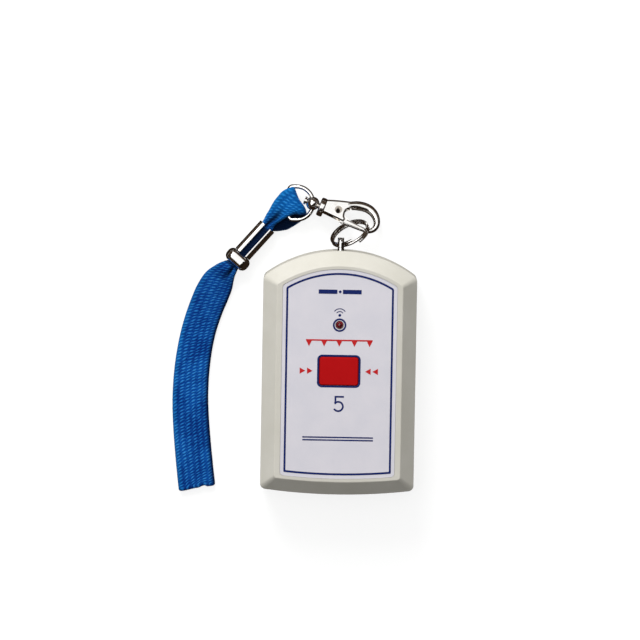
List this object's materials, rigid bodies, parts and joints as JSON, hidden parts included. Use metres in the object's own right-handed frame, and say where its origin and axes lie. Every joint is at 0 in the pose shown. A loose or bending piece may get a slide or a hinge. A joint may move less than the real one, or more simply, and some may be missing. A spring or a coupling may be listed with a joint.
{
  "type": "pendant alarm transmitter",
  "caption": "Handheld wireless alarm transmitter: flat white case with a red push button and lamp, split ring, swivel hook and short blue woven wrist strap.",
  "frame": {"origin": "centre of the case's rear face, which it lies on", "axes": "+Z out of the front face, +Y along the case to the end with the ring, +X right as the front is read"},
  "size_m": [0.0971, 0.1241, 0.0256],
  "materials": {
    "abs_white": "fine satin grain",
    "label_foil": "satin printed foil, faint lilac grey",
    "ink_blue": "flat ink",
    "ink_red": "flat ink",
    "button_red": "satin moulded key",
    "led_red": "clear tinted resin",
    "steel": "plain steel",
    "nickel": "bright nickel plate",
    "board_green": "solder mask",
    "black_plastic": "fine matt",
    "tin": "tinned leads and cans",
    "capacitor_sleeve": "shrunk sleeve",
    "ceramic": "fired body",
    "battery_skin": "lacquered steel can",
    "red_wire": "soft insulation",
    "black_wire": "soft insulation",
    "webbing_blue": "woven polyester, diagonal ribs"
  },
  "bodies": {
    "case": {"front_shell": "abs_white", "rear_shell": "abs_white", "front_label": "label_foil", "label_print_blue": "ink_blue", "label_print_red": "ink_red", "case_screws": "steel", "board_screws": "steel", "circuit_board": "board_green", "switch_body": "black_plastic", "indicator_led": "led_red", "led_leads": "tin", "encoder_chip": "black_plastic", "chip_pins": "tin", "saw_resonator": "tin", "crystal_can": "tin", "capacitor": "capacitor_sleeve", "chip_resistors": "ceramic", "antenna_loop": "tin", "battery_block": "battery_skin", "battery_snap": "black_plastic", "battery_lead_red": "red_wire", "battery_lead_black": "black_wire", "lanyard_lug": "steel"},
    "button": {"alarm_button": "button_red", "switch_plunger": "black_plastic"},
    "door": {"battery_door": "abs_white"},
    "ring": {"split_ring": "nickel"},
    "hook": {"hook_body": "nickel", "gate_pin": "steel"},
    "gate": {"hook_gate": "nickel"},
    "eye": {"swivel_eye": "nickel", "strap_clamp": "nickel", "clamp_collar": "nickel", "strap_loop": "webbing_blue", "strap_tail": "webbing_blue"}
  },
  "joints": [
    {"name": "button_press", "type": "slide", "parent": "case", "child": "button", "axis": [0, 0, -1], "range_m": [0, 0.0005], "stiffness_N_per_m": 1200, "springref_m": -0.0005},
    {"name": "door_slide", "type": "slide", "parent": "case", "child": "door", "axis": [0, -1, 0], "range_m": [0, 0.036]},
    {"name": "ring_swing", "type": "hinge", "parent": "case", "child": "ring", "pos_m": [0, 0.0508, 0.0128], "axis": [1, 0, 0], "range_deg": [-20, 45]},
    {"name": "hook_on_ring", "type": "hinge", "parent": "ring", "child": "hook", "pos_m": [0.0035, 0.055, 0.0077], "axis": [-0.4339, 0.7827, 0.4462], "range_deg": [-12, 6]},
    {"name": "gate_open", "type": "hinge", "parent": "hook", "child": "gate", "pos_m": [-0.00142, 0.06389, 0.00477], "axis": [0.1226, 0.3193, 0.9397], "range_deg": [0, 4], "stiffness_Nm_per_rad": 0.05, "springref_deg": -11.46},
    {"name": "eye_swivel", "type": "hinge", "parent": "hook", "child": "eye", "pos_m": [-0.0115, 0.06665, 0.00515], "axis": [0.9336, -0.3584, 0], "range_deg": [-25, 45]}
  ]
}
